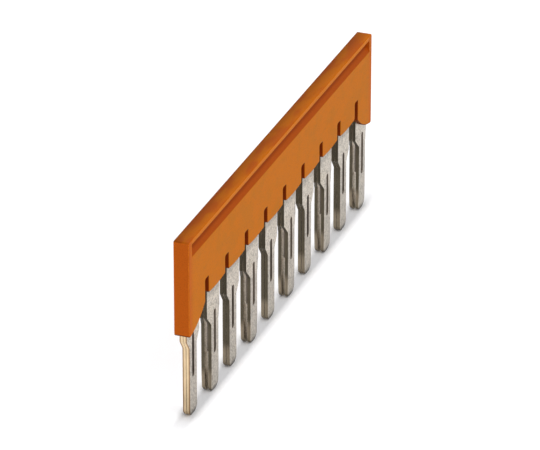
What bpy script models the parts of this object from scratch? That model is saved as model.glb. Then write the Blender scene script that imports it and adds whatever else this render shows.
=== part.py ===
"""Plug-in jumper bar for a row of ten terminal blocks.

A contact comb, folded from one sheet of tin-plated copper, is pressed into a moulded
insulating housing. Each pin of the comb is two leaves of the sheet lying face to face.
On every second pin the leaves are sprung apart, so that the pin grips in its contact.

X runs along the bar, -Y is the front with the lifting groove, and Z points up.
The pin tips stand on z = 0, and the middle of the bar is at x = 0, y = 0.
"""

import math

import bmesh
import bpy

# Row of ways
WAYS = 10
PITCH = 0.0082

# Housing: overall sizes
OVERALL_HEIGHT = 0.0298
HOUSING_THICKNESS = 0.0025
END_SETBACK = 0.00105
EDGE_BREAK = 0.00025

# Housing: tongues over the pins, as depths below the top face
SLOT_WIDTH = 0.0014
SLOT_DEPTH = 0.0090
SLOT_CORNER = 0.0003
TONGUE_DEPTH = 0.0120
TONGUE_CROWN = 0.0007
TONGUE_CORNER = 0.0004
END_TONGUE_DEPTH = 0.01575
END_TONGUE_RISE = 0.0031
END_TONGUE_CROWN = 0.0006
END_CORNER = 0.00035
TOP_CORNER = 0.00035

# Housing: lifting groove under the front lip
LIP_HEIGHT = 0.0008
GROOVE_HEIGHT = 0.0020
GROOVE_DEPTH = 0.0010
GROOVE_END_WALL = 0.0012

# Housing: walls left around the comb, and the clearance that the comb keeps to them
GROOVE_WALL = 0.0006
SLOT_WALL = 0.0008
FIT_GAP = 0.00025

# Comb: sheet, and the seam between its two leaves
SHEET = 0.0005
SEAM = 0.00005

# Comb: outline of one pin, as heights above the tip
STEM_WIDTH = 0.0048
BLADE_WIDTH = 0.0029
SHOULDER_TOP = 0.0131
SHOULDER_BOTTOM = 0.0115
TIP_CORNER = 0.0011

# Comb: slit that makes the blade springy
SLIT_WIDTH = 0.00085
SLIT_BOTTOM = 0.0063
SLIT_TOP = 0.0136

# Comb: leaves sprung apart on every second pin, and the thinned tip
LEAF_SPREAD = 0.00026
TIP_SPREAD = 0.0002
GATHER_START = 0.0040
SLIT_BEND_TOP = 0.0149
TIP_THINNING = 0.0001
TIP_THINNING_HEIGHT = 0.0008

# Smoothness of round stretches
ARC_STEPS = 8
CORNER_STEPS = 3
BEND_STEPS = 4
FOLD_STEPS = 8
BEVEL_SEGMENTS = 2
BEVEL_FROM_ANGLE = math.radians(60)
SHARP_FROM_ANGLE = math.radians(30)

# Guides that cut run this far past the faces they cut
OVERCUT = 0.002

# Values that agree to this many decimals of a metre are one
SAME_DIGITS = 8

# Looks: colour, roughness and metallic share
INSULATION_LOOK = ((0.56, 0.18, 0.02), 0.45, 0.0)
TINNED_LOOK = ((0.62, 0.58, 0.53), 0.35, 1.0)

# What the sizes above lead to
HOUSING_LENGTH = WAYS * PITCH - 2 * END_SETBACK
FRONT = -HOUSING_THICKNESS / 2
COMB_THICKNESS = 2 * SHEET + SEAM
CAVITY_TOP = OVERALL_HEIGHT - LIP_HEIGHT - GROOVE_HEIGHT - GROOVE_WALL
WEB_BOTTOM = OVERALL_HEIGHT - SLOT_DEPTH
FOLD_TOP = CAVITY_TOP - FIT_GAP
SPINE_TOP = FOLD_TOP - COMB_THICKNESS / 2
SPINE_BOTTOM = WEB_BOTTOM + SLOT_WALL + FIT_GAP


def pin_centre(index):
    """X of a pin, counted from the -X end."""
    return (index - (WAYS - 1) / 2) * PITCH


def is_sprung(index):
    """Whether the leaves of a pin are sprung apart, as they are on every second pin."""
    return index % 2 == 1


def clear_scene():
    """Remove every object that the file holds."""
    for obj in list(bpy.data.objects):
        bpy.data.objects.remove(obj, do_unlink=True)


def make_material(name, colour, roughness, metallic):
    """A Principled material of one plain colour."""
    mat = bpy.data.materials.new(name)
    mat.use_nodes = True
    shader = mat.node_tree.nodes["Principled BSDF"]
    shader.inputs["Base Color"].default_value = (*colour, 1.0)
    shader.inputs["Roughness"].default_value = roughness
    shader.inputs["Metallic"].default_value = metallic
    return mat


def add_object(name, bm):
    """Turn a bmesh into a linked object and free the bmesh."""
    bmesh.ops.recalc_face_normals(bm, faces=bm.faces)
    mesh = bpy.data.meshes.new(name)
    bm.to_mesh(mesh)
    bm.free()
    obj = bpy.data.objects.new(name, mesh)
    bpy.context.scene.collection.objects.link(obj)
    return obj


def crowned(start, end, crown):
    """Points of an arc that bulges to the right of the way from start to end."""
    chord_x = end[0] - start[0]
    chord_z = end[1] - start[1]
    chord = math.hypot(chord_x, chord_z)
    radius = (chord * chord / 4 + crown * crown) / (2 * crown)
    half_angle = math.asin(chord / 2 / radius)
    points = []
    for step in range(ARC_STEPS + 1):
        angle = half_angle * (2 * step / ARC_STEPS - 1)
        along = 0.5 + radius * math.sin(angle) / chord
        out = radius * (math.cos(angle) - math.cos(half_angle)) / chord
        points.append((start[0] + along * chord_x + out * chord_z,
                       start[1] + along * chord_z - out * chord_x))
    return points


def round_corner(before, corner, after, radius):
    """Points of the arc that replaces one corner of an outline."""
    to_before = (before[0] - corner[0], before[1] - corner[1])
    to_after = (after[0] - corner[0], after[1] - corner[1])
    start_angle = math.atan2(to_before[1], to_before[0])
    end_angle = math.atan2(to_after[1], to_after[0])
    turn = (end_angle - start_angle + math.pi) % math.tau - math.pi
    reach = radius / math.tan(abs(turn) / 2)
    middle = start_angle + turn / 2
    to_centre = radius / math.sin(abs(turn) / 2)
    centre = (corner[0] + to_centre * math.cos(middle), corner[1] + to_centre * math.sin(middle))
    first = (corner[0] + reach * math.cos(start_angle), corner[1] + reach * math.sin(start_angle))
    first_angle = math.atan2(first[1] - centre[1], first[0] - centre[0])
    sweep = -math.copysign(math.pi - abs(turn), turn)
    points = []
    for step in range(CORNER_STEPS + 1):
        angle = first_angle + sweep * step / CORNER_STEPS
        points.append((centre[0] + radius * math.cos(angle), centre[1] + radius * math.sin(angle)))
    return points


def rounded_outline(corners):
    """Closed outline from (x, z, radius) corners; a radius of 0 keeps the point."""
    points = []
    for index, (x, z, radius) in enumerate(corners):
        if radius == 0:
            points.append((x, z))
            continue
        before = corners[index - 1]
        after = corners[(index + 1) % len(corners)]
        points.extend(round_corner(before, (x, z), after, radius))
    return points


def prism(outline, back, front):
    """Closed prism of an X-Z outline between two Y planes."""
    bm = bmesh.new()
    verts = [bm.verts.new((x, back, z)) for x, z in outline]
    face = bm.faces.new(verts)
    extruded = bmesh.ops.extrude_face_region(bm, geom=[face])["geom"]
    moved = [item for item in extruded if isinstance(item, bmesh.types.BMVert)]
    bmesh.ops.translate(bm, verts=moved, vec=(0, front - back, 0))
    return bm


def tongue_corners(left, right, left_z, right_z, crown, left_radius, right_radius):
    """Corners of one tongue's lower edge, from its left side to its right side."""
    arc = crowned((left, left_z), (right, right_z), crown)
    corners = [(x, z, 0) for x, z in arc]
    corners[0] = (left, left_z, left_radius)
    corners[-1] = (right, right_z, right_radius)
    return corners


def housing_outline():
    """Front view of the housing, run from its top left corner down and along."""
    half = HOUSING_LENGTH / 2
    end_z = OVERALL_HEIGHT - END_TONGUE_DEPTH
    end_slot_z = end_z + END_TONGUE_RISE
    inner_z = OVERALL_HEIGHT - TONGUE_DEPTH + TONGUE_CROWN
    corners = [(-half, OVERALL_HEIGHT, TOP_CORNER)]
    for index in range(WAYS):
        first = index == 0
        last = index == WAYS - 1
        left = -half if first else pin_centre(index) - (PITCH - SLOT_WIDTH) / 2
        right = half if last else pin_centre(index) + (PITCH - SLOT_WIDTH) / 2
        if first:
            corners += tongue_corners(left, right, end_z, end_slot_z, END_TONGUE_CROWN,
                                      END_CORNER, TONGUE_CORNER)
        elif last:
            corners += tongue_corners(left, right, end_slot_z, end_z, END_TONGUE_CROWN,
                                      TONGUE_CORNER, END_CORNER)
        else:
            corners += tongue_corners(left, right, inner_z, inner_z, TONGUE_CROWN,
                                      TONGUE_CORNER, TONGUE_CORNER)
        if not last:
            corners.append((right, WEB_BOTTOM, SLOT_CORNER))
            corners.append((right + SLOT_WIDTH, WEB_BOTTOM, SLOT_CORNER))
    corners.append((half, OVERALL_HEIGHT, TOP_CORNER))
    return rounded_outline(corners)


def cavity_outline():
    """Front view of the space for the comb: the spine and one shaft for each pin."""
    shaft = STEM_WIDTH / 2 + FIT_GAP
    floor = SPINE_BOTTOM - FIT_GAP
    mouth = OVERALL_HEIGHT - END_TONGUE_DEPTH - OVERCUT
    points = [(pin_centre(0) - shaft, CAVITY_TOP)]
    for index in range(WAYS):
        centre = pin_centre(index)
        if index > 0:
            points.append((centre - shaft, floor))
        points.append((centre - shaft, mouth))
        points.append((centre + shaft, mouth))
        if index < WAYS - 1:
            points.append((centre + shaft, floor))
    points.append((pin_centre(WAYS - 1) + shaft, CAVITY_TOP))
    return points


def groove_cutter():
    """Wedge that cuts the lifting groove, deepest under the lip."""
    lip = OVERALL_HEIGHT - LIP_HEIGHT
    foot = lip - GROOVE_HEIGHT
    slope = GROOVE_HEIGHT / GROOVE_DEPTH
    half = HOUSING_LENGTH / 2 - GROOVE_END_WALL
    section = [(FRONT + GROOVE_DEPTH, lip),
               (FRONT - OVERCUT, lip),
               (FRONT - OVERCUT, foot - slope * OVERCUT)]
    bm = bmesh.new()
    face = bm.faces.new([bm.verts.new((-half, y, z)) for y, z in section])
    extruded = bmesh.ops.extrude_face_region(bm, geom=[face])["geom"]
    moved = [item for item in extruded if isinstance(item, bmesh.types.BMVert)]
    bmesh.ops.translate(bm, verts=moved, vec=(2 * half, 0, 0))
    return bm


def cut(target, name, cutter_bm):
    """Cut a hidden guide shape out of the target."""
    cutter = add_object(name, cutter_bm)
    cutter.hide_render = True
    cutter.display_type = "WIRE"
    boolean = target.modifiers.new(name, "BOOLEAN")
    boolean.operation = "DIFFERENCE"
    boolean.solver = "EXACT"
    boolean.object = cutter


def build_housing():
    """Moulded housing: broken edges, the comb's cavity and the lifting groove."""
    housing = add_object("insulating_housing", prism(housing_outline(), -FRONT, FRONT))
    bevel = housing.modifiers.new("edge_break", "BEVEL")
    bevel.width = EDGE_BREAK
    bevel.segments = BEVEL_SEGMENTS
    bevel.limit_method = "ANGLE"
    bevel.angle_limit = BEVEL_FROM_ANGLE
    cavity_half = COMB_THICKNESS / 2 + FIT_GAP
    cut(housing, "cavity_guide", prism(cavity_outline(), cavity_half, -cavity_half))
    cut(housing, "groove_guide", groove_cutter())
    housing.data.materials.append(make_material("insulation", *INSULATION_LOOK))
    return housing


def ramp(value, low, high):
    """0 below low, 1 above high, and a smooth S between them."""
    share = min(max((value - low) / (high - low), 0.0), 1.0)
    return share * share * (3 - 2 * share)


def half_width(z):
    """Half the width of a pin at a height above its tip."""
    stem = STEM_WIDTH / 2
    blade = BLADE_WIDTH / 2
    if z >= SHOULDER_TOP:
        return stem
    if z >= SHOULDER_BOTTOM:
        return blade + (stem - blade) * (z - SHOULDER_BOTTOM) / (SHOULDER_TOP - SHOULDER_BOTTOM)
    if z >= TIP_CORNER:
        return blade
    fall = TIP_CORNER - z
    return blade - TIP_CORNER + math.sqrt(TIP_CORNER * TIP_CORNER - fall * fall)


def slit_half(z):
    """Half the width of the slit at a height, 0 above and below it."""
    radius = SLIT_WIDTH / 2
    to_end = min(z - SLIT_BOTTOM, SLIT_TOP - z)
    if to_end <= 0:
        return 0.0
    if to_end >= radius:
        return radius
    return math.sqrt(radius * radius - (radius - to_end) ** 2)


def spread_at(z, by_slit):
    """How far a sprung leaf stands off the middle plane; it bends higher up beside the slit."""
    gathered = TIP_SPREAD + (LEAF_SPREAD - TIP_SPREAD) * ramp(z, 0.0, GATHER_START)
    if by_slit:
        return gathered * (1 - ramp(z, SLIT_TOP, SLIT_BEND_TOP))
    return gathered * (1 - ramp(z, SHOULDER_BOTTOM, SHOULDER_TOP))


def leaf_faces(z, spread):
    """Distances of a leaf's inner and outer face from the middle plane."""
    thinning = TIP_THINNING * max(0.0, 1 - z / TIP_THINNING_HEIGHT)
    inner = SEAM / 2 + spread
    return inner, inner + SHEET - thinning


def spaced(low, high, steps):
    """Evenly spaced heights from low to high, both included."""
    return [low + (high - low) * step / steps for step in range(steps + 1)]


def rounding_heights(end, inward, radius):
    """Heights that follow a round end at even angles, from its outermost point."""
    angles = [math.pi / 2 * step / CORNER_STEPS for step in range(CORNER_STEPS + 1)]
    return [end + inward * radius * (1 - math.cos(angle)) for angle in angles]


def pin_heights(index):
    """Heights of the rows of a pin's mesh, from the tip up to the spine."""
    heights = [SPINE_BOTTOM, SHOULDER_TOP, SHOULDER_BOTTOM, TIP_THINNING_HEIGHT]
    heights += rounding_heights(0.0, 1, TIP_CORNER)
    heights += rounding_heights(SLIT_BOTTOM, 1, SLIT_WIDTH / 2)
    heights += rounding_heights(SLIT_TOP, -1, SLIT_WIDTH / 2)
    if is_sprung(index):
        heights += spaced(TIP_CORNER, GATHER_START, BEND_STEPS)
        heights += spaced(SHOULDER_BOTTOM, SHOULDER_TOP, BEND_STEPS)
        heights += spaced(SLIT_TOP, SLIT_BEND_TOP, BEND_STEPS)
    return sorted({round(z, SAME_DIGITS) for z in heights})


class Sheet:
    """Folded sheet made of an outer and an inner skin with a rim between them."""

    def __init__(self):
        self.bm = bmesh.new()
        self.verts = {}
        self.inner_of = {}

    def corner(self, outer, inner):
        """One corner of the sheet, as the pair of its outer and inner points."""
        key = tuple(round(value, SAME_DIGITS) for value in (*outer, *inner))
        if key not in self.verts:
            outer_vert = self.bm.verts.new(outer)
            self.verts[key] = outer_vert
            self.inner_of[outer_vert] = self.bm.verts.new(inner)
        return self.verts[key]

    def patch(self, corners):
        """Four corners joined on both skins."""
        self.bm.faces.new(corners)
        self.bm.faces.new([self.inner_of[vert] for vert in reversed(corners)])

    def close(self):
        """Join the skins along every open edge."""
        inner_verts = set(self.inner_of.values())
        open_edges = [edge for edge in self.bm.edges
                      if edge.is_boundary and edge.verts[0] not in inner_verts]
        for edge in open_edges:
            start, end = edge.verts
            self.bm.faces.new([start, end, self.inner_of[end], self.inner_of[start]])
        return self.bm


def leaf_corner(sheet, side, x, z, spread=0.0):
    """Corner of a leaf: side is -1 for the front leaf and 1 for the rear one."""
    inner, outer = leaf_faces(z, spread)
    return sheet.corner((x, side * outer, z), (x, side * inner, z))


def strip_row(sheet, side, hand, index, z):
    """Outer and slit-side corner of a leaf's strip at a height: hand is -1 left of the slit."""
    centre = pin_centre(index)
    edge_spread = spread_at(z, False) if is_sprung(index) else 0.0
    slit_spread = spread_at(z, True) if is_sprung(index) else 0.0
    return (leaf_corner(sheet, side, centre + hand * half_width(z), z, edge_spread),
            leaf_corner(sheet, side, centre + hand * slit_half(z), z, slit_spread))


def add_pin(sheet, side, index):
    """One leaf of one pin, as a strip on each side of the slit."""
    heights = pin_heights(index)
    for low, high in zip(heights, heights[1:]):
        for hand in (-1, 1):
            low_edge, low_slit = strip_row(sheet, side, hand, index, low)
            high_edge, high_slit = strip_row(sheet, side, hand, index, high)
            sheet.patch([low_edge, low_slit, high_slit, high_edge])


def fold_corner(sheet, x, angle):
    """Corner on the fold, where the angle runs from 0 at the front to pi at the rear."""
    outer = COMB_THICKNESS / 2
    inner = SEAM / 2
    return sheet.corner((x, -outer * math.cos(angle), SPINE_TOP + outer * math.sin(angle)),
                        (x, -inner * math.cos(angle), SPINE_TOP + inner * math.sin(angle)))


def add_spine(sheet):
    """The uncut strip that joins the pins, folded along its top."""
    columns = []
    for index in range(WAYS):
        centre = pin_centre(index)
        columns += [centre - STEM_WIDTH / 2, centre, centre + STEM_WIDTH / 2]
    angles = spaced(0.0, math.pi, FOLD_STEPS)
    for left, right in zip(columns, columns[1:]):
        for side in (-1, 1):
            points = [(left, SPINE_BOTTOM), (right, SPINE_BOTTOM),
                      (right, SPINE_TOP), (left, SPINE_TOP)]
            sheet.patch([leaf_corner(sheet, side, x, z) for x, z in points])
        for low, high in zip(angles, angles[1:]):
            points = [(left, low), (right, low), (right, high), (left, high)]
            sheet.patch([fold_corner(sheet, x, angle) for x, angle in points])


def build_comb():
    """Contact comb: the spine with its fold, and two leaves for each pin."""
    sheet = Sheet()
    add_spine(sheet)
    for index in range(WAYS):
        for side in (-1, 1):
            add_pin(sheet, side, index)
    comb = add_object("contact_comb", sheet.close())
    comb.data.shade_smooth()
    comb.data.set_sharp_from_angle(angle=SHARP_FROM_ANGLE)
    comb.data.materials.append(make_material("tinned_contact", *TINNED_LOOK))
    return comb


def main():
    """Build the whole bar."""
    clear_scene()
    build_housing()
    build_comb()


main()
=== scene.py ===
"""Looks of a ten-way jumper bar: an orange moulded housing over a folded, tinned comb.

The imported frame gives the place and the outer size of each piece. Both sub-assemblies are
built again here with the rounded edges, bends and finish of the real ones. Lengths are in
metres: X runs along the bar, -Y is the front, and Z points up from the pin tips.
"""

from __future__ import annotations

import logging
import math
from collections.abc import Iterable, Sequence
from dataclasses import dataclass, field
from enum import Enum
from typing import Any

import bmesh
import bpy
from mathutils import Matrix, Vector

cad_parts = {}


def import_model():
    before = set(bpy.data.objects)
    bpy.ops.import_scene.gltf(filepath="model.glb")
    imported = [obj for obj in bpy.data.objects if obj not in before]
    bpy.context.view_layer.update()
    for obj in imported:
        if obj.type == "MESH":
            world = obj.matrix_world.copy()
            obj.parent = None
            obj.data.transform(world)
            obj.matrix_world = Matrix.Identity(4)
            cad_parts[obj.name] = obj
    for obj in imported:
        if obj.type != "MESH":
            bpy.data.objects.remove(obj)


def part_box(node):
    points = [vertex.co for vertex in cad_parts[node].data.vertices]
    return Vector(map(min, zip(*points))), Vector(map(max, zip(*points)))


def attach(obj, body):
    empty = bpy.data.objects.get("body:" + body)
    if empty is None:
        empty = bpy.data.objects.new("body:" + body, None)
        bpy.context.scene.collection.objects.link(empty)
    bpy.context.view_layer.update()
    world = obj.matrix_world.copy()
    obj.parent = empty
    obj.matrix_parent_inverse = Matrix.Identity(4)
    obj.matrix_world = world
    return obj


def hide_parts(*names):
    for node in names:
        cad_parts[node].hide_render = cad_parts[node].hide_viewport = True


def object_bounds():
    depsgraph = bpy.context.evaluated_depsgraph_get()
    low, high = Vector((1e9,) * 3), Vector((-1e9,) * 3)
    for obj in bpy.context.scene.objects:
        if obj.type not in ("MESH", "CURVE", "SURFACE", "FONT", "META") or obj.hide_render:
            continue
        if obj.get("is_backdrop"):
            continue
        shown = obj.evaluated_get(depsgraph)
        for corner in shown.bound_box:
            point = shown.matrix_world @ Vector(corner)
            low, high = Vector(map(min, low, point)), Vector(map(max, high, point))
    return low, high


LOG = logging.getLogger("jumper_bar")
SENSOR_WIDTH = 36.0
WHITE = (1.0, 1.0, 1.0)

# A length that counts as none, one over which a border fades, and the decimals of a point's key
TINY = 1e-6
FADE = 1e-4
POINT_DIGITS = 8

# Mean of a noise, index of the Mix node's colour result, and weight that favours large faces
NOISE_MEAN = 0.5
MIXED_COLOUR = 2
FACE_WEIGHT = 100

Span = tuple[float, float]
Point = tuple[float, float]
Place = tuple[float, float, float]
Colour = tuple[float, float, float]


class Leaf(Enum):
    """The two leaves of a folded pin, by the side of the middle plane they lie on."""

    FRONT = -1
    REAR = 1


class Hand(Enum):
    """The two strips of a leaf, left and right of its slit."""

    LEFT = -1
    RIGHT = 1


class Rays(Enum):
    """Kinds of ray that see the white background as it is written."""

    CAMERA = "Is Camera Ray"
    GLOSSY = "Is Glossy Ray"
    TRANSMISSION = "Is Transmission Ray"


class Wire:
    """Output socket of a shader node. Arithmetic on it adds Math nodes."""

    def __init__(self, graph: Graph, socket: bpy.types.NodeSocket) -> None:
        """Hold the graph that the socket belongs to, and the socket."""
        self.graph = graph
        self.socket = socket

    def beside(self, name: str) -> Wire:
        """Another output of the same node, by its name."""
        return Wire(self.graph, self.socket.node.outputs[name])

    def maths(self, operation: str, first: Operand, second: Operand) -> Wire:
        """Value of one Math node, from its operation and its two operands."""
        return self.graph.node("ShaderNodeMath", {"operation": operation}, {0: first, 1: second})

    def __add__(self, other: Operand) -> Wire:
        """Sum."""
        return self.maths("ADD", self, other)

    def __radd__(self, other: Operand) -> Wire:
        """Sum with a number on the left."""
        return self.maths("ADD", other, self)

    def __sub__(self, other: Operand) -> Wire:
        """Difference."""
        return self.maths("SUBTRACT", self, other)

    def __rsub__(self, other: Operand) -> Wire:
        """Difference from a number on the left."""
        return self.maths("SUBTRACT", other, self)

    def __mul__(self, other: Operand) -> Wire:
        """Product."""
        return self.maths("MULTIPLY", self, other)

    def __rmul__(self, other: Operand) -> Wire:
        """Product with a number on the left."""
        return self.maths("MULTIPLY", other, self)

    def __abs__(self) -> Wire:
        """Absolute value."""
        return self.maths("ABSOLUTE", self, 0.0)

    def __or__(self, other: Operand) -> Wire:
        """Larger of two masks."""
        return self.maths("MAXIMUM", self, other)


Operand = Wire | float | Sequence[float]


class Graph:
    """Node tree of a material or of the world, with one method that adds any node."""

    def __init__(self, tree: bpy.types.NodeTree) -> None:
        """Start from an empty tree."""
        self.tree = tree
        self.tree.nodes.clear()

    def node(self, kind: str, settings: dict[str, Any], sockets: dict[str | int, Operand],
             output: str | int = 0) -> Wire:
        """Add one node.

        Args:
            kind: Type name of the node.
            settings: Properties set before the sockets.
            sockets: Value or link of each input, by its identifier, name or index.
            output: Name or index of the output to return.

        Returns:
            The output asked for.
        """
        made = self.tree.nodes.new(kind)
        for name, value in settings.items():
            setattr(made, name, value)
        known = {socket.identifier: socket for socket in made.inputs}
        for name, value in sockets.items():
            self._plug(known[name] if name in known else made.inputs[name], value)
        return Wire(self, made.outputs[output])

    def _plug(self, socket: bpy.types.NodeSocket, value: Operand) -> None:
        """Link a wire to an input, or set the input to a value.

        Args:
            socket: The input.
            value: Wire, number, vector or colour.
        """
        if isinstance(value, Wire):
            self.tree.links.new(value.socket, socket)
        elif socket.type == "RGBA":
            socket.default_value = (*value, 1.0)
        else:
            socket.default_value = value

    def step(self, value: Operand, low: float, high: float) -> Wire:
        """Mask that rises smoothly from 0 at low to 1 at high, which may be below low."""
        return self.node("ShaderNodeMapRange", {"interpolation_type": "SMOOTHSTEP"},
                         {"Value": value, "From Min": low, "From Max": high})

    def band(self, value: Operand, rise: Span, fall: Span) -> Wire:
        """Mask that rises over one span of a value and falls over another."""
        return self.step(value, *rise) * self.step(value, *fall)

    def split(self, vector: Wire) -> tuple[Wire, Wire, Wire]:
        """X, Y and Z of a vector."""
        along = self.node("ShaderNodeSeparateXYZ", {}, {"Vector": vector}, "X")
        return along, along.beside("Y"), along.beside("Z")

    def mix(self, share: Operand, first: Operand, second: Operand) -> Wire:
        """Blend of two colours, by the share of the second."""
        return self.node("ShaderNodeMix", {"data_type": "RGBA"},
                         {"Factor_Float": share, "A_Color": first, "B_Color": second}, MIXED_COLOUR)

    def layered(self, colour: Operand, layers: Iterable[tuple[Operand, Operand]]) -> Operand:
        """Colour covered by others in turn.

        Args:
            colour: The lowest colour.
            layers: Mask and colour of each layer over it.

        Returns:
            The colour that is seen.
        """
        for mask, cover in layers:
            colour = self.mix(mask, colour, cover)
        return colour

    def scaled(self, colour: Operand, share: Operand) -> Wire:
        """Colour times a factor."""
        return self.node("ShaderNodeVectorMath", {"operation": "SCALE"}, {0: colour, "Scale": share})

    def noise(self, place: Wire, per_metre: Sequence[float], detail: float = 2.0) -> Wire:
        """Noise between 0 and 1, by its waves per metre along each axis and its finer octaves."""
        scaled = self.node("ShaderNodeVectorMath", {"operation": "MULTIPLY"}, {0: place, 1: per_metre})
        return self.node("ShaderNodeTexNoise", {}, {"Vector": scaled, "Scale": 1.0, "Detail": detail})

    def bump(self, height: Operand, depth: float, strength: float) -> Wire:
        """Normal bent by a height from 0 to 1, where 1 stands for depth in metres."""
        return self.node("ShaderNodeBump", {},
                         {"Strength": strength, "Distance": depth, "Height": height})

    def finish(self, kind: str, shader: Wire) -> None:
        """Link a shader to the tree's output node, which has the type name given."""
        made = self.tree.nodes.new(kind)
        self.tree.links.new(shader.socket, made.inputs["Surface"])


def new_material(name: str) -> tuple[bpy.types.Material, Graph]:
    """Material with an empty node tree.

    Args:
        name: Name of the material.

    Returns:
        The material and the graph of its nodes.
    """
    made = bpy.data.materials.new(name)
    made.use_nodes = True
    return made, Graph(made.node_tree)


@dataclass(frozen=True)
class MouldedPlastic:
    """Orange glass-filled nylon with a fine spark-eroded grain.

    Each span holds the values at which one mask starts and is full.

    Attributes:
        grained: Colour of the grained front and rear faces.
        flow: Colour of the faint flow marks on them.
        shaded_end: Painted shade: the redder, darker colour of the ends, which stands for how the light
            falls on them; faces that no other mask covers take it too.
        shaded_top: Painted shade: the deeper colour of the top, which stands for how the light falls on
            it.
        patched: Redder colour of the top where fingers have worn it, with the same painted shade as the
            top.
        top_shade_fall: Painted shade: how much the top darkens towards the rear, as a share per metre.
        edge_highlight: Painted highlight: paler colour of the rounded edges, broken up by noise.
        lip_highlight_share: How far the lip's front takes that painted highlight.
        end_shade_share: How far the front near the ends takes the painted shade of the ends.
        groove_shade: Painted shade: colour of the groove under the lip.
        deep_groove_shade: Painted shade: darker colour of the groove's deepest part.
        slot_shade: Painted shade: colour of the walls of the slots.
        underside_shade: Painted shade: colour of the lower edges of the tongues, and of every face that
            turns down.
        roughness: Mean roughness of the faces.
        roughness_range: How much it changes with the grain.
        gloss: Level of the surface's mirror reflection.
        grain: Grains per metre.
        grain_octaves: Octaves of finer noise in them.
        grain_height: Height of the grain.
        grain_strength: Share of its effect on the light.
        speck_share: How strongly the grain darkens its hollows.
        cloud_waves: Waves per metre of the flow marks.
        cloud_octaves: Octaves of finer noise in them.
        patch_waves: Waves per metre of the rubbed patches.
    """

    grained: Colour = (0.668, 0.185, 0.0025)
    flow: Colour = (0.620, 0.184, 0.004)
    # Painted shade: the ends' redder, darker colour
    shaded_end: Colour = (0.640, 0.126, 0.008)
    # Painted shade: the top's deeper colour, its patches and its darkening towards the rear
    shaded_top: Colour = (0.345, 0.088, 0.002)
    patched: Colour = (0.300, 0.060, 0.003)
    top_shade_fall: float = 290.0
    # Painted highlight on the rounded edges and on the lip's front
    edge_highlight: Colour = (0.765, 0.215, 0.018)
    lip_highlight_share: float = 0.6
    # Painted shade of the ends carried onto the front near the groove's ends
    end_shade_share: float = 0.8
    # Painted shade in the groove under the lip, darkest where it goes in farthest
    groove_shade: Colour = (0.520, 0.088, 0.002)
    deep_groove_shade: Colour = (0.400, 0.062, 0.001)
    # Painted shade on the walls of the slots
    slot_shade: Colour = (0.250, 0.034, 0.002)
    # Painted shade on the faces that turn down, such as the tongues' lower edges
    underside_shade: Colour = (0.160, 0.040, 0.006)
    roughness: float = 0.55
    roughness_range: float = 0.2
    gloss: float = 0.04
    grain: float = 5200.0
    grain_octaves: float = 3.0
    grain_height: float = 0.00002
    grain_strength: float = 0.6
    speck_share: float = 0.12
    cloud_waves: Place = (260.0, 500.0, 420.0)
    cloud_octaves: float = 4.0
    patch_waves: Place = (160.0, 500.0, 160.0)

    # Spans of noise
    flow_span: Span = (0.42, 0.66)
    patch_span: Span = (0.4, 0.62)
    highlight_noise_span: Span = (0.7, 1.1)
    speck_span: Span = (0.55, 0.3)

    # Spans of the surface's turn towards an axis, which is 1 where it faces along the axis
    face_span: Span = (0.5, 0.9)
    top_span: Span = (0.2, 0.7)
    edge_spans: tuple[Span, Span] = ((0.15, 0.5), (0.88, 0.75))
    below_top_span: Span = (0.5, 0.2)
    front_span: Span = (0.0, -0.5)
    wall_span: Span = (0.4, 0.8)
    under_span: Span = (-0.02, -0.3)

    # Spans of the depth behind the front face, and of the length past the groove's end
    skin_span: Span = (0.00004, 0.00001)
    groove_spans: tuple[Span, Span] = ((0.00001, 0.00006), (0.0012, 0.0011))
    deep_shade_span: Span = (0.0003, 0.00055)
    end_span: Span = (-0.001, 0.0012)

    def material(self, half_length: float, front: float, lip: float, foot: float,
                 slot_top: float) -> bpy.types.Material:
        """Material for the housing.

        Args:
            half_length: X within which the groove and the slots lie.
            front: Y of the front face.
            lip: Height of the lip's lower edge.
            foot: Height of the groove's foot.
            slot_top: Height of the slots' upper ends.

        Returns:
            The material.
        """
        made, graph = new_material("orange_moulding")
        place = graph.node("ShaderNodeTexCoord", {}, {}, "Object")
        x, y, z = graph.split(place)
        side, rear, up = graph.split(place.beside("Normal"))
        depth = y - front
        grain = graph.noise(place, (self.grain,) * 3, self.grain_octaves)
        cloud = graph.noise(place, self.cloud_waves, self.cloud_octaves)
        patch = graph.step(graph.noise(place, self.patch_waves), *self.patch_span)
        face = graph.step(abs(rear), *self.face_span)
        inside = graph.step(abs(x), half_length, half_length - FADE)
        edge = graph.band(abs(rear), *self.edge_spans) * graph.step(up, *self.below_top_span)
        lip_front = inside * face * graph.step(z, lip, lip + FADE) * graph.step(depth, *self.skin_span)
        near_end = graph.step(abs(x), *[half_length + past for past in self.end_span])
        groove = inside * graph.band(depth, *self.groove_spans)
        groove = groove * graph.band(z, (foot - FADE, foot + FADE), (lip + FADE, lip))
        slots = inside * graph.step(abs(side), *self.wall_span)
        slots = slots * graph.step(z, slot_top + 2 * FADE, slot_top)
        # Painted shade on the top, darker towards the rear
        shaded_top = graph.scaled(graph.mix(patch, self.shaded_top, self.patched), 1.0 - y * self.top_shade_fall)
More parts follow.
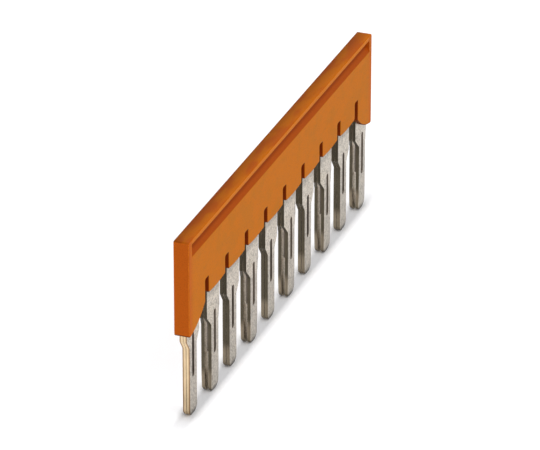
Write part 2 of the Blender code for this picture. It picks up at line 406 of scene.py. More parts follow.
        # The lowest colour is the ends' painted shade
        colour = graph.layered(self.shaded_end, (
            (face, graph.mix(graph.step(cloud, *self.flow_span), self.grained, self.flow)),
            # Painted shade on the top
            (graph.step(up, *self.top_span), shaded_top),
            # Painted highlight on the rounded edges, broken up by noise
            (edge * graph.step(cloud + grain, *self.highlight_noise_span), self.edge_highlight),
            # Painted highlight on the lip's front
            (lip_front * self.lip_highlight_share, self.edge_highlight),
            # Painted shade of the ends carried onto the front near the groove's ends
            (near_end * graph.step(rear, *self.front_span) * face * self.end_shade_share, self.shaded_end),
            # Painted shade in the groove
            (groove, graph.mix(graph.step(depth, *self.deep_shade_span), self.groove_shade, self.deep_groove_shade)),
            # Painted shade on the walls of the slots
            (slots, self.slot_shade),
            # Painted shade on the faces that turn down
            (graph.step(up, *self.under_span), self.underside_shade),
        ))
        speck = graph.step(grain, *self.speck_span) * self.speck_share
        shader = graph.node("ShaderNodeBsdfPrincipled", {}, {
            "Base Color": graph.scaled(colour, 1.0 - speck),
            "Roughness": self.roughness + (grain - NOISE_MEAN) * self.roughness_range,
            "Specular IOR Level": self.gloss,
            "Normal": graph.bump(grain, self.grain_height, self.grain_strength),
        })
        graph.finish("ShaderNodeOutputMaterial", shader)
        return made


@dataclass(frozen=True)
class TinnedSheet:
    """Tin-plated copper sheet with fine drawn lines, bare and tarnished where it was cut.

    Each span holds the values at which one mask starts and is full.

    Attributes:
        tin: Mean colour of the plating.
        worn: Colour of the darker lines.
        cut: Dark colour of the cut edges; it is partly their own tarnish and partly painted shade for the
            dark surroundings they reflect.
        tip_reflection: Painted reflection: lighter colour of the cut edges near the tip.
        end_cut_reflection: Painted reflection: light colour of the cut edge at the bar's -X end.
        bright_border: Colour of that edge's two borders.
        bright_foot: Share of that painted reflection's brightness that is left near the tip.
        slit_wall: Colour of the walls of the slits.
        level: Brightness of the plating below the shoulders.
        height_highlight: Painted highlight: how much brighter the plating is above them.
        height_cut_shade: Painted shade: how much darker the cut edges are above them.
        tongue_shade: Painted shade: how much darker the plating is near the housing, where its tongues
            shade it.
        inner_share: Painted light: how much brighter the inner faces of the leaves are, in the gap
            between them that lies in shade.
        tip_contact_shade: Painted shade: share of the colour that is left at the lowest ends of the tips,
            by the floor.
        contact_shade_height: Height that this painted shade reaches.
        roughness: Mean roughness of the plating.
        roughness_range: How much it changes with the lines.
        lines: Drawn lines per metre.
        line_share: Share of the lines in the plating's pattern, beside the grain.
        line_height: Height of the lines.
        line_strength: Share of their effect on the light.
        grain: Grains per metre of the plating.
        octaves: Octaves of finer noise in the lines and the grain.
        cloud_waves: Waves per metre of the tarnish.
        cut_contrast: How much the tarnish changes the cut edges.
        tip_reflection_wander: How far the tarnish moves the upper end of the painted reflection near the
            tip.
        tongue_shade_wander: How far it moves the end of that painted shade, whose edge is as soft.
    """

    tin: Colour = (0.59, 0.535, 0.455)
    worn: Colour = (0.27, 0.242, 0.20)
    # Partly painted shade: the cut edges' dark colour
    cut: Colour = (0.104, 0.088, 0.061)
    # Painted reflection on the cut edges near the tip
    tip_reflection: Colour = (0.27, 0.222, 0.160)
    # Painted reflection on the cut edge at the bar's -X end
    end_cut_reflection: Colour = (0.76, 0.58, 0.36)
    bright_border: Colour = (0.30, 0.17, 0.08)
    bright_foot: float = 0.76
    slit_wall: Colour = (0.22, 0.185, 0.155)
    level: float = 0.81
    # Painted highlight on the plating and painted shade on the cut edges, higher up
    height_highlight: float = 0.24
    height_cut_shade: float = 0.3
    # Painted shade on the plating near the housing
    tongue_shade: float = 0.3
    # Painted light in the gap between the leaves
    inner_share: float = 1.6
    # Painted contact shade at the lowest ends of the tips
    tip_contact_shade: float = 0.42
    contact_shade_height: float = 0.0009
    roughness: float = 0.38
    roughness_range: float = 0.25
    lines: Place = (7000.0, 7000.0, 700.0)
    line_share: float = 0.4
    line_height: float = 0.000014
    line_strength: float = 0.7
    grain: float = 4200.0
    octaves: float = 3.0
    cloud_waves: Place = (900.0, 900.0, 350.0)
    cut_contrast: float = 0.6
    tip_reflection_wander: float = 0.0012
    tongue_shade_wander: float = 0.0008

    # Spans of noise, of the surface's turn to the front or rear, of height and of depth
    plate_span: Span = (0.36, 0.6)
    edge_span: Span = (0.95, 0.7)
    bright_span: Span = (0.003, 0.0085)
    highlight_span: Span = (0.0100, 0.0128)
    border_span: Span = (0.00034, 0.00046)
    inner_span: Span = (0.00042, 0.00034)

    # Shares of their own size at which the masks of the painted tip reflection, the slits and the painted
    # contact shade are full
    tip_reflection_full: float = 0.6
    slit_full: float = 0.8
    contact_shade_full: float = 0.3

    def material(self, bright_until: float, tip_reflection_below: float, shaded_above: float,
                 half_pitch: float, slit_width: float) -> bpy.types.Material:
        """Material for the comb.

        Args:
            bright_until: X up to which the cut edges are bright.
            tip_reflection_below: Height below which the cut edges carry the painted reflection.
            shaded_above: Height above which the plating carries painted shade from the housing.
            half_pitch: Half the distance between two pins.
            slit_width: Width of the slits.

        Returns:
            The material.
        """
        made, graph = new_material("tinned_copper")
        place = graph.node("ShaderNodeTexCoord", {}, {}, "Object")
        x, y, z = graph.split(place)
        rear = graph.split(place.beside("Normal"))[1]
        lines = graph.noise(place, self.lines, self.octaves)
        grain = graph.noise(place, (self.grain,) * 3, self.octaves)
        tarnish = graph.noise(place, self.cloud_waves) - NOISE_MEAN
        # Painted highlight higher up on the pins, and painted shade on their cut edges there
        height_highlight = graph.step(z, *self.highlight_span)
        inner = graph.step(abs(y), *self.inner_span)
        # Painted reflection on the cut edges near the tip
        tip = graph.step(z + tarnish * self.tip_reflection_wander, tip_reflection_below, tip_reflection_below * self.tip_reflection_full)
        # Cut edges: partly their own dark tarnish, partly painted shade
        cut = graph.scaled(graph.mix(tip, self.cut, self.tip_reflection), 1.0 - height_highlight * self.height_cut_shade)
        # Painted reflection on the cut edge at the -X end, with darker borders, fading towards the tip
        border = graph.step(abs(y), *self.border_span)
        brightness = self.bright_foot + graph.step(z, *self.bright_span) * (1.0 - self.bright_foot)
        bright = graph.scaled(graph.mix(border, self.end_cut_reflection, self.bright_border), brightness)
        cut = graph.mix(graph.step(x, bright_until + FADE, bright_until), cut, bright)
        cut = graph.scaled(cut, 1.0 + tarnish * self.cut_contrast)
        off_centre = graph.node("ShaderNodeMath", {"operation": "PINGPONG"},
                                {0: x - half_pitch, 1: half_pitch})
        in_slit = graph.step(off_centre, slit_width, slit_width * self.slit_full)
        cut = graph.mix(in_slit, cut, self.slit_wall)
        pattern = graph.step(lines * self.line_share + grain * (1.0 - self.line_share), *self.plate_span)
        # Painted shade on the plating under the housing's tongues
        tongue_shade = graph.step(z + tarnish * self.tongue_shade_wander, shaded_above, shaded_above + self.tongue_shade_wander)
        plate = graph.scaled(graph.mix(pattern, self.worn, self.tin),
                             self.level + height_highlight * self.height_highlight - tongue_shade * self.tongue_shade)
        # Painted light on the inner faces of the leaves, in the gap between them
        plate = graph.scaled(plate, 1.0 + inner * (self.inner_share - 1.0))
        # Painted contact shade at the lowest ends of the tips, outside the gap
        contact_shade_mask = graph.step(z, self.contact_shade_height, self.contact_shade_height * self.contact_shade_full) * (1.0 - inner)
        edge = graph.step(abs(rear), *self.edge_span)
        shader = graph.node("ShaderNodeBsdfPrincipled", {}, {
            "Base Color": graph.scaled(graph.mix(edge, plate, cut), 1.0 - contact_shade_mask * (1.0 - self.tip_contact_shade)),
            "Metallic": 1.0,
            "Roughness": self.roughness + (lines - NOISE_MEAN) * self.roughness_range,
            "Normal": graph.bump((lines + grain) * 0.5, self.line_height, self.line_strength),
        })
        graph.finish("ShaderNodeOutputMaterial", shader)
        return made


def crowned(start: Point, end: Point, crown: float, steps: int) -> list[Point]:
    """Points of an arc that bulges to the right of the way from start to end.

    Args:
        start: First point.
        end: Last point.
        crown: Height of the bulge over the chord.
        steps: Straight pieces that stand for the arc.

    Returns:
        The points, both ends included.
    """
    chord_x = end[0] - start[0]
    chord_z = end[1] - start[1]
    chord = math.hypot(chord_x, chord_z)
    radius = (chord * chord / 4 + crown * crown) / (2 * crown)
    half_angle = math.asin(chord / 2 / radius)
    points = []
    for step in range(steps + 1):
        angle = half_angle * (2 * step / steps - 1)
        along = 0.5 + radius * math.sin(angle) / chord
        out = radius * (math.cos(angle) - math.cos(half_angle)) / chord
        points.append((start[0] + along * chord_x + out * chord_z,
                       start[1] + along * chord_z - out * chord_x))
    return points


def fillet(before: Point, corner: Point, after: Point, radius: float, steps: int) -> list[Point]:
    """Points of the arc that replaces one corner.

    Args:
        before: Corner before it.
        corner: The corner.
        after: Corner after it.
        radius: Radius of the arc.
        steps: Straight pieces that stand for the arc.

    Returns:
        The points of the arc, both ends included.
    """
    start_angle = math.atan2(before[1] - corner[1], before[0] - corner[0])
    end_angle = math.atan2(after[1] - corner[1], after[0] - corner[0])
    turn = (end_angle - start_angle + math.pi) % math.tau - math.pi
    reach = radius / math.tan(abs(turn) / 2)
    to_centre = radius / math.sin(abs(turn) / 2)
    middle = start_angle + turn / 2
    centre = (corner[0] + to_centre * math.cos(middle), corner[1] + to_centre * math.sin(middle))
    first = (corner[0] + reach * math.cos(start_angle), corner[1] + reach * math.sin(start_angle))
    first_angle = math.atan2(first[1] - centre[1], first[0] - centre[0])
    sweep = -math.copysign(math.pi - abs(turn), turn)
    angles = [first_angle + sweep * step / steps for step in range(steps + 1)]
    return [(centre[0] + radius * math.cos(angle), centre[1] + radius * math.sin(angle))
            for angle in angles]


def spaced(low: float, high: float, steps: int) -> list[float]:
    """Evenly spaced values from low to high, both included."""
    return [low + (high - low) * step / steps for step in range(steps + 1)]


def smooth_ramp(value: float, low: float, high: float) -> float:
    """0 below low, 1 above high, and a smooth S between them."""
    share = min(max((value - low) / (high - low), 0.0), 1.0)
    return share * share * (3 - 2 * share)


def prism(outline: Iterable[Place], reach: Place) -> bmesh.types.BMesh:
    """Closed prism.

    Args:
        outline: Corners of one end face.
        reach: Way from that end face to the other.

    Returns:
        The prism's mesh.
    """
    mesh = bmesh.new()
    face = mesh.faces.new([mesh.verts.new(place) for place in outline])
    extruded = bmesh.ops.extrude_face_region(mesh, geom=[face])["geom"]
    moved = [item for item in extruded if isinstance(item, bmesh.types.BMVert)]
    bmesh.ops.translate(mesh, verts=moved, vec=reach)
    bmesh.ops.recalc_face_normals(mesh, faces=mesh.faces)
    return mesh


def new_object(name: str, mesh: bmesh.types.BMesh) -> bpy.types.Object:
    """Object made from a bmesh.

    Args:
        name: Name of the object.
        mesh: The bmesh, which is freed.

    Returns:
        The object, linked to the scene.
    """
    data = bpy.data.meshes.new(name)
    mesh.to_mesh(data)
    mesh.free()
    made = bpy.data.objects.new(name, data)
    bpy.context.scene.collection.objects.link(made)
    return made


def freeze(piece: bpy.types.Object) -> None:
    """Replace a piece's mesh by what its modifiers make of it.

    Args:
        piece: The piece.
    """
    bpy.context.view_layer.update()
    shaped = piece.evaluated_get(bpy.context.evaluated_depsgraph_get())
    final = bpy.data.meshes.new_from_object(shaped)
    piece.modifiers.clear()
    piece.data = final


def smooth(piece: bpy.types.Object, crease: float) -> None:
    """Shade a piece smooth over its rounded edges and flat on its faces.

    Args:
        piece: The piece.
        crease: Angle from which an edge stays sharp.
    """
    piece.data.shade_smooth()
    piece.data.set_sharp_from_angle(angle=crease)
    weighted = piece.modifiers.new("flat_faces", "WEIGHTED_NORMAL")
    weighted.keep_sharp = True
    weighted.weight = FACE_WEIGHT
    freeze(piece)


@dataclass(frozen=True)
class Row:
    """Row of ways that both sub-assemblies follow.

    Attributes:
        ways: Number of pins.
        pitch: Distance between neighbouring pins.
    """

    ways: int = 10
    pitch: float = 0.0082

    def centre(self, way: int) -> float:
        """X of a pin, counted from the -X end."""
        return (way - (self.ways - 1) / 2) * self.pitch

    def sides(self, way: int, reach: float) -> tuple[float, float]:
        """X of the two places that lie left and right of a pin's centre by reach."""
        return self.centre(way) - reach, self.centre(way) + reach


@dataclass
class Housing:
    """Insulating housing: one moulding with tongues, slots, a cavity and a lifting groove.

    Attributes:
        low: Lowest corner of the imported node.
        high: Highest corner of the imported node.
        row: Row of ways.
        finish: Finish of the moulding.

    The other fields are sizes of the moulding, numbers of steps and shares of a size.
    """

    low: Vector
    high: Vector
    row: Row
    finish: MouldedPlastic
    slot_width: float = 0.0014
    slot_depth: float = 0.0090
    slot_corner: float = 0.0003
    tongue_depth: float = 0.0120
    tongue_crown: float = 0.0002
    tongue_corner: float = 0.0003
    end_tongue_rise: float = 0.0031
    end_tongue_crown: float = 0.0006
    end_corner: float = 0.00035
    top_corner: float = 0.00035
    outer_round: float = 0.00026
    inner_share: float = 0.9
    round_segments: int = 6
    lip_height: float = 0.0008
    lip_round: float = 0.0001
    groove_height: float = 0.0020
    groove_depth: float = 0.0010
    groove_end_wall: float = 0.0012
    groove_wall: float = 0.0006
    slot_wall: float = 0.0008
    cavity_thickness: float = 0.00155
    shaft_width: float = 0.0053
    arc_steps: int = 28
    corner_steps: int = 6
    overcut: float = 0.002
    crease: float = math.radians(24)

    def outline(self) -> list[Point]:
        """Front view of the housing, from its top left corner down and along.

        Returns:
            The points of the closed outline.
        """
        half = self.high.x
        top = self.high.z
        end_z = self.low.z
        slot_z = end_z + self.end_tongue_rise
        inner_z = top - self.tongue_depth + self.tongue_crown
        web_z = top - self.slot_depth
        last = self.row.ways - 1
        reach = (self.row.pitch - self.slot_width) / 2
        corners: list[Place] = [(-half, top, self.top_corner)]
        for way in range(self.row.ways):
            left_x, right_x = self.row.sides(way, reach)
            left = (left_x, inner_z, self.tongue_corner)
            right = (right_x, inner_z, self.tongue_corner)
            if way == 0:
                left = (-half, end_z, self.end_corner)
                right = (right_x, slot_z, self.tongue_corner)
            if way == last:
                left = (left_x, slot_z, self.tongue_corner)
                right = (half, end_z, self.end_corner)
            crown = self.end_tongue_crown if way in (0, last) else self.tongue_crown
            arc = crowned(left[:2], right[:2], crown, self.arc_steps)
            free = [(x, z, 0.0) for x, z in arc
                    if self._clear_of((x, z), left) and self._clear_of((x, z), right)]
            corners += [left, *free, right]
            if way < last:
                corners += [(right_x, web_z, self.slot_corner),
                            (right_x + self.slot_width, web_z, self.slot_corner)]
        corners.append((half, top, self.top_corner))
        return self._rounded(corners)

    @staticmethod
    def _clear_of(place: Point, corner: Place) -> bool:
        """Whether a point lies clear of the rounding of a corner given as (x, z, radius)."""
        return math.dist(place, corner[:2]) > 2 * corner[2]

    def _rounded(self, corners: Sequence[Place]) -> list[Point]:
        """Round the corners of an outline.

        Args:
            corners: The corners as (x, z, radius), where a radius of 0 keeps the corner.

        Returns:
            The points of the rounded outline.
        """
        points: list[Point] = []
        for index, (x, z, radius) in enumerate(corners):
            if radius == 0.0:
                points.append((x, z))
                continue
            before = corners[index - 1]
            after = corners[(index + 1) % len(corners)]
            points += fillet(before[:2], (x, z), after[:2], radius, self.corner_steps)
        return points

    def shell(self) -> bpy.types.Object:
        """Solid outline with rounded edges, rounder at the outside than at the slots.

        Returns:
            The object, with its Bevel modifier.
        """
        outline = [(x, self.high.y, z) for x, z in self.outline()]
        mesh = prism(outline, (0.0, self.low.y - self.high.y, 0.0))
        weight = mesh.edges.layers.float.new("bevel_weight_edge")
        for edge in mesh.edges:
            first, second = (vert.co for vert in edge.verts)
            if abs(first.y - second.y) > TINY:
                continue
            outside = self._outside(first) and self._outside(second)
            edge[weight] = 1.0 if outside else self.inner_share
        made = new_object("moulded_housing", mesh)
        rounding = made.modifiers.new("rounding", "BEVEL")
        rounding.width = self.outer_round
        rounding.segments = self.round_segments
        rounding.limit_method = "WEIGHT"
        return made

    def _outside(self, place: Vector) -> bool:
        """Whether a point of the outline lies on the top or on an end."""
        return (place.z > self.high.z - self.top_corner - TINY
                or abs(place.x) > self.high.x - self.end_corner - TINY)

    def cavity(self) -> bmesh.types.BMesh:
        """Space for the comb: the spine's chamber and one shaft for each pin.

        Returns:
            The mesh of the space.
        """
        top = self.high.z - self.lip_height - self.groove_height - self.groove_wall
        floor = self.high.z - self.slot_depth + self.slot_wall
        mouth = self.low.z - self.overcut
        points: list[Point] = []
        for way in range(self.row.ways):
            left, right = self.row.sides(way, self.shaft_width / 2)
            points += [(left, floor), (left, mouth), (right, mouth), (right, floor)]
        points[0] = (points[0][0], top)
        points[-1] = (points[-1][0], top)
        back = self.cavity_thickness / 2
        return prism([(x, back, z) for x, z in points], (0.0, -self.cavity_thickness, 0.0))

    def groove(self) -> bmesh.types.BMesh:
        """Wedge of the lifting groove, with the lip's lower edge rounded.

        Returns:
            The mesh of the wedge.
        """
        lip = self.high.z - self.lip_height
        front = self.low.y
        slope = self.groove_height / self.groove_depth
        rounding = [(front + self.lip_round * (1 + math.cos(turn)),
                     lip + self.lip_round * (1 + math.sin(turn)))
                    for turn in spaced(-math.pi / 2, -math.pi, self.corner_steps)]
        section = [(front + self.groove_depth, lip), *rounding,
                   (front - self.overcut, lip + self.lip_round),
                   (front - self.overcut, lip - self.groove_height - slope * self.overcut)]
        half = self.high.x - self.groove_end_wall
        return prism([(-half, y, z) for y, z in section], (2 * half, 0.0, 0.0))

    def build(self) -> bpy.types.Object:
        """Make the piece in the node's place and dress it.

        Returns:
            The piece.
        """
        piece = self.shell()
        guides = [new_object("cavity_guide", self.cavity()), new_object("groove_guide", self.groove())]
        for guide in guides:
            cut = piece.modifiers.new(guide.name, "BOOLEAN")
            cut.operation = "DIFFERENCE"
            cut.solver = "EXACT"
            cut.object = guide
        freeze(piece)
        for guide in guides:
            bpy.data.objects.remove(guide, do_unlink=True)
        smooth(piece, self.crease)
        lip = self.high.z - self.lip_height
        finish = self.finish.material(self.high.x - self.groove_end_wall + TINY, self.low.y, lip,
                                      lip - self.groove_height, self.high.z - self.slot_depth)
        piece.data.materials.clear()
        piece.data.materials.append(finish)
        return piece


@dataclass
class FoldedSheet:
    """Sheet made of an outer and an inner skin, with a rim between them.

    Attributes:
        mesh: Mesh of both skins.
        corners: Vertex of the outer skin, by the places of a corner on both skins.
        inner_of: Vertex of the inner skin that lies behind one of the outer skin.
    """

    mesh: bmesh.types.BMesh = field(default_factory=bmesh.new)
    corners: dict[tuple[float, ...], bmesh.types.BMVert] = field(default_factory=dict)
    inner_of: dict[bmesh.types.BMVert, bmesh.types.BMVert] = field(default_factory=dict)

    def corner(self, outer: Place, inner: Place) -> bmesh.types.BMVert:
        """One corner of the sheet.

        Args:
            outer: Point on the outer skin.
            inner: Point on the inner skin.

        Returns:
            The outer skin's vertex, which is shared where the corner is known.
        """
        key = tuple(round(value, POINT_DIGITS) for value in (*outer, *inner))
        if key not in self.corners:
            vert = self.mesh.verts.new(outer)
            self.corners[key] = vert
            self.inner_of[vert] = self.mesh.verts.new(inner)
        return self.corners[key]

    def patch(self, corners: Sequence[bmesh.types.BMVert]) -> None:
        """Add a face through the given corners to each of the two skins."""
        self.mesh.faces.new(corners)
        self.mesh.faces.new([self.inner_of[vert] for vert in reversed(corners)])

    def close(self) -> bmesh.types.BMesh:
        """Join the skins along every open edge.

        Returns:
            The closed mesh.
        """
        inner = set(self.inner_of.values())
        open_edges = [edge for edge in self.mesh.edges if edge.is_boundary and edge.verts[0] not in inner]
        for edge in open_edges:
            start, end = edge.verts
            self.mesh.faces.new([start, end, self.inner_of[end], self.inner_of[start]])
        bmesh.ops.recalc_face_normals(self.mesh, faces=self.mesh.faces)
        return self.mesh


@dataclass
class Comb:
    """Contact comb: one sheet folded along its top, with a two-leaf slit pin for each way.

    Attributes:
        low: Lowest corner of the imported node.
        high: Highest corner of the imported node.
        row: Row of ways.
        finish: Finish of the sheet.
        skins: The sheet's two skins, which the methods add to.

    The other fields are sizes and heights of the sheet, and numbers of steps.
    """

    low: Vector
    high: Vector
    row: Row
    finish: TinnedSheet
    sheet: float = 0.00055
    seam: float = 0.00005
    stem_width: float = 0.0051
    blade_width: float = 0.0029
    shoulder_top: float = 0.0131
    shoulder_bottom: float = 0.0115
    tip_corner: float = 0.0011
    slit_width: float = 0.00085
    slit_bottom: float = 0.0063
    slit_top: float = 0.0136
    leaf_spread: float = 0.00026
    tip_spread: float = 0.0002
    gather_start: float = 0.0040
    slit_bend_top: float = 0.0149
    tip_thinning: float = 0.0001
    tip_thinning_height: float = 0.0008
    spine_bottom: float = 0.02185
    # Height below which the cut edges carry a painted reflection
    tip_reflection_below: float = 0.0044
    # Height above which the plating carries painted shade from the housing
    shaded_above: float = 0.0158
    edge_roll: float = 0.00006
    roll_segments: int = 2
    roll_from_angle: float = math.radians(60)
    corner_steps: int = 6
    bend_steps: int = 10
    fold_steps: int = 16
    crease: float = math.radians(50)
    skins: FoldedSheet = field(default_factory=FoldedSheet)

    def sprung(self, way: int) -> bool:
        """Whether a pin's leaves are sprung apart."""
        return way % 2 == 1

    def thickness(self) -> float:
        """Thickness of two leaves lying face to face."""
        return 2 * self.sheet + self.seam

    def half_width(self, z: float) -> float:
        """Half the width of a pin at a height.

        Args:
            z: Height above the tips.

        Returns:
            Half the width.
        """
        stem = self.stem_width / 2
        blade = self.blade_width / 2
        if z >= self.shoulder_top:
            return stem
        if z >= self.shoulder_bottom:
            share = (z - self.shoulder_bottom) / (self.shoulder_top - self.shoulder_bottom)
            return blade + (stem - blade) * share
        if z >= self.tip_corner:
            return blade
        fall = self.tip_corner - z
        return blade - self.tip_corner + math.sqrt(self.tip_corner ** 2 - fall ** 2)

    def slit_half(self, z: float) -> float:
        """Half the width of the slit at a height.

        Args:
            z: Height above the tips.

        Returns:
            Half the width, which is 0 above and below the slit.
        """
        radius = self.slit_width / 2
        to_end = min(z - self.slit_bottom, self.slit_top - z)
        if to_end <= TINY:
            return 0.0
        if to_end >= radius:
            return radius
        return math.sqrt(radius ** 2 - (radius - to_end) ** 2)

    def spread(self, z: float, by_slit: bool) -> float:
        """How far a sprung leaf stands off the middle plane.

        Args:
            z: Height above the tips.
            by_slit: Whether the place is beside the slit, where the leaf bends higher up.

        Returns:
            The distance.
        """
        opening = smooth_ramp(z, 0.0, self.gather_start)
        gathered = self.tip_spread + (self.leaf_spread - self.tip_spread) * opening
        if by_slit:
            return gathered * (1 - smooth_ramp(z, self.slit_top, self.slit_bend_top))
        return gathered * (1 - smooth_ramp(z, self.shoulder_bottom, self.shoulder_top))

    def heights(self, way: int) -> list[float]:
        """Heights of the rows of a pin's mesh, from the tip up to the spine.

        Args:
            way: Number of the pin.

        Returns:
            The heights, each once.
        """
        radius = self.slit_width / 2
        quarter = spaced(0.0, math.pi / 2, self.corner_steps)
        found = [self.spine_bottom, self.shoulder_top, self.shoulder_bottom, self.tip_thinning_height]
        found += [self.tip_corner * (1 - math.cos(angle)) for angle in quarter]
        found += [self.slit_bottom + radius * (1 - math.cos(angle)) for angle in quarter]
        found += [self.slit_top - radius * (1 - math.cos(angle)) for angle in quarter]
        if self.sprung(way):
            found += spaced(self.tip_corner, self.gather_start, self.bend_steps)
            found += spaced(self.shoulder_bottom, self.shoulder_top, self.bend_steps)
            found += spaced(self.slit_top, self.slit_bend_top, self.bend_steps)
        found.sort()
        return [z for z, after in zip(found, found[1:] + [math.inf]) if after - z > TINY]

    def leaf_corner(self, leaf: Leaf, x: float, z: float, spread: float = 0.0) -> bmesh.types.BMVert:
        """Corner of a leaf.

        Args:
            leaf: Front or rear leaf.
            x: Place along the bar.
            z: Height above the tips.
            spread: How far the leaf stands off the middle plane.

        Returns:
            The corner's vertex.
        """
        inner = self.seam / 2 + spread
        thinning = self.tip_thinning * max(0.0, 1 - z / self.tip_thinning_height)
        outer = inner + self.sheet - thinning
        return self.skins.corner((x, leaf.value * outer, z), (x, leaf.value * inner, z))

    def strip_row(self, leaf: Leaf, hand: Hand, way: int, z: float) -> list[bmesh.types.BMVert]:
        """Corners of one strip of a leaf at a height.

        Args:
            leaf: Front or rear leaf.
            hand: Strip left or right of the slit.
            way: Number of the pin.
            z: Height above the tips.

        Returns:
            The corner at the outer edge and the one at the slit.
        """
        row = []
        for reach, by_slit in ((self.half_width(z), False), (self.slit_half(z), True)):
            spread = self.spread(z, by_slit) if self.sprung(way) else 0.0
            x = self.row.centre(way) + hand.value * reach
            row.append(self.leaf_corner(leaf, x, z, spread))
        return row

    def add_leaf(self, leaf: Leaf, way: int) -> None:
        """Add one leaf of one pin, as a strip on each side of its slit.

        Args:
            leaf: Front or rear leaf.
            way: Number of the pin.
        """
        heights = self.heights(way)
        for low, high in zip(heights, heights[1:]):
            for hand in Hand:
                below = self.strip_row(leaf, hand, way, low)
                above = self.strip_row(leaf, hand, way, high)
                self.skins.patch([*below, *reversed(above)])

    def fold_corner(self, x: float, turn: float) -> bmesh.types.BMVert:
        """Corner on the fold.

        Args:
            x: Place along the bar.
            turn: Way around the fold, from 0 at the front to pi at the rear.

        Returns:
            The corner's vertex.
        """
        outer = self.thickness() / 2
        inner = self.seam / 2
        base = self.high.z - outer
        return self.skins.corner((x, -outer * math.cos(turn), base + outer * math.sin(turn)),
                                 (x, -inner * math.cos(turn), base + inner * math.sin(turn)))

    def add_spine(self) -> None:
        """Add the uncut strip that joins the pins, with the fold along its top."""
        reach = self.stem_width / 2
        columns = [self.row.centre(way) + side
                   for way in range(self.row.ways) for side in (-reach, 0.0, reach)]
        base = self.high.z - self.thickness() / 2
        turns = spaced(0.0, math.pi, self.fold_steps)
        for left, right in zip(columns, columns[1:]):
            for leaf in Leaf:
                places = ((left, self.spine_bottom), (right, self.spine_bottom),
                          (right, base), (left, base))
                self.skins.patch([self.leaf_corner(leaf, x, z) for x, z in places])
            for low, high in zip(turns, turns[1:]):
                places = ((left, low), (right, low), (right, high), (left, high))
                self.skins.patch([self.fold_corner(x, turn) for x, turn in places])

    def build(self) -> bpy.types.Object:
        """Make the piece in the node's place and dress it.

        Returns:
            The piece.
        """
        self.add_spine()
        for way in range(self.row.ways):
            for leaf in Leaf:
                self.add_leaf(leaf, way)
        piece = new_object("folded_comb", self.skins.close())
        roll = piece.modifiers.new("edge_roll", "BEVEL")
        roll.width = self.edge_roll
        roll.segments = self.roll_segments
        roll.limit_method = "ANGLE"
        roll.angle_limit = self.roll_from_angle
        freeze(piece)
        smooth(piece, self.crease)
        bright_until = self.row.centre(0) - self.slit_width
        piece.data.materials.append(self.finish.material(
            bright_until, self.tip_reflection_below, self.shaded_above, self.row.pitch / 2, self.slit_width))
        return piece


@dataclass(frozen=True)
class PaleFloor:
    """White table top that keeps the object's shadow.

    Attributes:
        half_size: Half of the floor's side.
        glow: Share of the white that is seen without light.
        shown: Colour that takes light and shadow where it is seen.
        lit: Colour that throws light back at the object.
    """

    half_size: float = 0.4
    glow: float = 0.035
    shown: Colour = (0.985, 0.985, 1.0)
    lit: Colour = (0.80, 0.80, 0.80)

    def material(self) -> bpy.types.Material:
        """Material that is white where light reaches it, and open from below.

        Returns:
            The material.
        """
        made, graph = new_material("pale_floor")
        seen = background_rays(graph)
        lit = graph.node("ShaderNodeBsdfDiffuse", {}, {"Color": self.lit})
        kept = graph.node("ShaderNodeBsdfDiffuse", {}, {"Color": self.shown})
        glow = graph.node("ShaderNodeEmission", {}, {"Strength": self.glow})
        shown = graph.node("ShaderNodeAddShader", {}, {0: kept, 1: glow})
        top = graph.node("ShaderNodeMixShader", {}, {0: seen, 1: lit, 2: shown})
        below = graph.node("ShaderNodeNewGeometry", {}, {}, "Backfacing")
        clear = graph.node("ShaderNodeBsdfTransparent", {}, {})
        graph.finish("ShaderNodeOutputMaterial",
                     graph.node("ShaderNodeMixShader", {}, {0: below, 1: top, 2: clear}))
        return made

    def build(self) -> None:
        """Lay the floor at the pin tips."""
        half = self.half_size
        mesh = bmesh.new()
        corners = [(-half, -half, 0.0), (half, -half, 0.0), (half, half, 0.0), (-half, half, 0.0)]
        mesh.faces.new([mesh.verts.new(place) for place in corners])
        floor = new_object("floor", mesh)
        floor.data.materials.append(self.material())
        floor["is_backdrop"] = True


def background_rays(graph: Graph) -> Wire:
    """Mask of the rays that see the white background: camera, glossy and transmission rays."""
    path = graph.node("ShaderNodeLightPath", {}, {}, Rays.CAMERA.value)
    return path | path.beside(Rays.GLOSSY.value) | path.beside(Rays.TRANSMISSION.value)


@dataclass(frozen=True)
class Softbox:
    """Studio lamp aimed at the object.

    Attributes:
        name: Name of the lamp.
        azimuth: Direction it stands in, as a view's azimuth, in degrees.
        elevation: Height over the floor, in degrees.
        distance: Distance from the object.
        width: Its size across.
        height: Its size up and down.
        power: Power in watts.
    """

    name: str
    azimuth: float
    elevation: float
    distance: float
    width: float
    height: float
    power: float

    def build(self, target: Vector) -> None:
        """Hang the lamp so that it faces the target.

        Args:
            target: Middle of the object.
        """
        data = bpy.data.lights.new(self.name, "AREA")
        data.energy = self.power
        data.shape = "RECTANGLE"
        data.size = self.width
        data.size_y = self.height
        away = direction(self.azimuth, self.elevation)
        aimed(data, target + away * self.distance, away)


def direction(azimuth: float, elevation: float) -> Vector:
    """Unit vector from the object towards a viewer.

    Args:
        azimuth: 0 stands on the -Y side, and 90 on the +X side, in degrees.
        elevation: Angle above the floor, in degrees.

    Returns:
        The vector.
    """
    turn = math.radians(azimuth)
    rise = math.radians(elevation)
    return Vector((math.sin(turn) * math.cos(rise), -math.cos(turn) * math.cos(rise), math.sin(rise)))


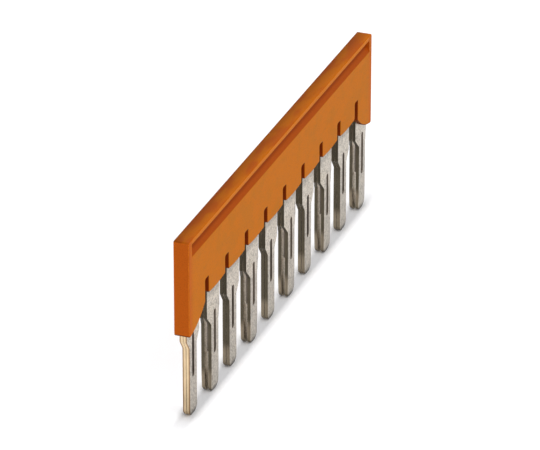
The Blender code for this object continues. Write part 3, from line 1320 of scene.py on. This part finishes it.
def aimed(data: bpy.types.Light | bpy.types.Camera, place: Vector, away: Vector) -> bpy.types.Object:
    """Object for a lamp or a camera, turned to where it is aimed.

    Args:
        data: The lamp or the camera, whose name the object takes.
        place: Where it stands.
        away: Direction from what it is aimed at towards it.

    Returns:
        The object, linked to the scene.
    """
    made = bpy.data.objects.new(data.name, data)
    made.location = place
    made.rotation_mode = "QUATERNION"
    made.rotation_quaternion = (-away).to_track_quat("-Z", "Y")
    bpy.context.scene.collection.objects.link(made)
    return made


@dataclass(frozen=True)
class Studio:
    """Light and background.

    Attributes:
        fill: Strength of the white surroundings as a light.
        lamps: The softboxes.
    """

    fill: float = 0.42
    lamps: tuple[Softbox, ...] = (
        Softbox("overhead", azimuth=180.0, elevation=89.6, distance=2.0,
                width=0.6, height=0.12, power=21.5),
        Softbox("front", azimuth=-15.0, elevation=50.0, distance=0.7,
                width=0.8, height=0.7, power=1.75),
    )

    def build(self, target: Vector) -> None:
        """Set up the world and the lamps.

        Args:
            target: Middle of the object.
        """
        scene = bpy.context.scene
        scene.world = bpy.data.worlds.new("studio")
        scene.world.use_nodes = True
        graph = Graph(scene.world.node_tree)
        strength = self.fill + background_rays(graph) * (1 - self.fill)
        shader = graph.node("ShaderNodeBackground", {}, {"Color": WHITE, "Strength": strength})
        graph.finish("ShaderNodeOutputWorld", shader)
        for lamp in self.lamps:
            lamp.build(target)
        scene.view_settings.view_transform = "Standard"


@dataclass(frozen=True)
class Camera:
    """Camera that stands where the photograph was taken from.

    Attributes:
        azimuth: Direction it stands in, in degrees.
        elevation: Angle above the floor, in degrees.
        distance: Distance from the place that it is aimed at.
        shown_right: How far right of the pin tips' middle that place lies in the picture.
        shown_up: How far above it that place lies.
        lens: Focal length in millimetres.
        near: Nearest distance shown, as a share of the camera's own distance.
        far: Farthest distance shown, as such a share.
    """

    azimuth: float = -69.406
    elevation: float = 26.491
    distance: float = 0.720
    shown_right: float = -0.001089
    shown_up: float = 0.012510
    lens: float = 308.48
    near: float = 0.1
    far: float = 100.0

    def build(self) -> None:
        """Place the camera and make it the scene's own."""
        away = direction(self.azimuth, self.elevation)
        right = Vector((0.0, 0.0, 1.0)).cross(away).normalized()
        above = away.cross(right)
        data = bpy.data.cameras.new("camera")
        data.sensor_width = SENSOR_WIDTH
        data.lens = self.lens
        data.clip_start = self.distance * self.near
        data.clip_end = self.distance * self.far
        place = right * self.shown_right + above * self.shown_up + away * self.distance
        bpy.context.scene.camera = aimed(data, place, away)


def install(piece: bpy.types.Object, node: str) -> None:
    """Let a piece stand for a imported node.

    Args:
        piece: The piece.
        node: Name of the node.
    """
    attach(piece, "root")
    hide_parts(node)
    LOG.info("%s stands for %s with %d faces", piece.name, node, len(piece.data.polygons))


def main() -> None:
    """Load the frame, build both sub-assemblies and set them in the studio."""
    logging.basicConfig(level=logging.INFO, format="%(name)s: %(message)s")
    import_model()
    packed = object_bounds()
    row = Row()
    housing = Housing(*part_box("insulating_housing"), row=row, finish=MouldedPlastic())
    install(housing.build(), "insulating_housing")
    comb = Comb(*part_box("contact_comb"), row=row, finish=TinnedSheet())
    install(comb.build(), "contact_comb")
    PaleFloor().build()
    middle = (packed[0] + packed[1]) / 2
    Studio().build(middle)
    Camera().build()


if __name__ == "__main__":
    main()
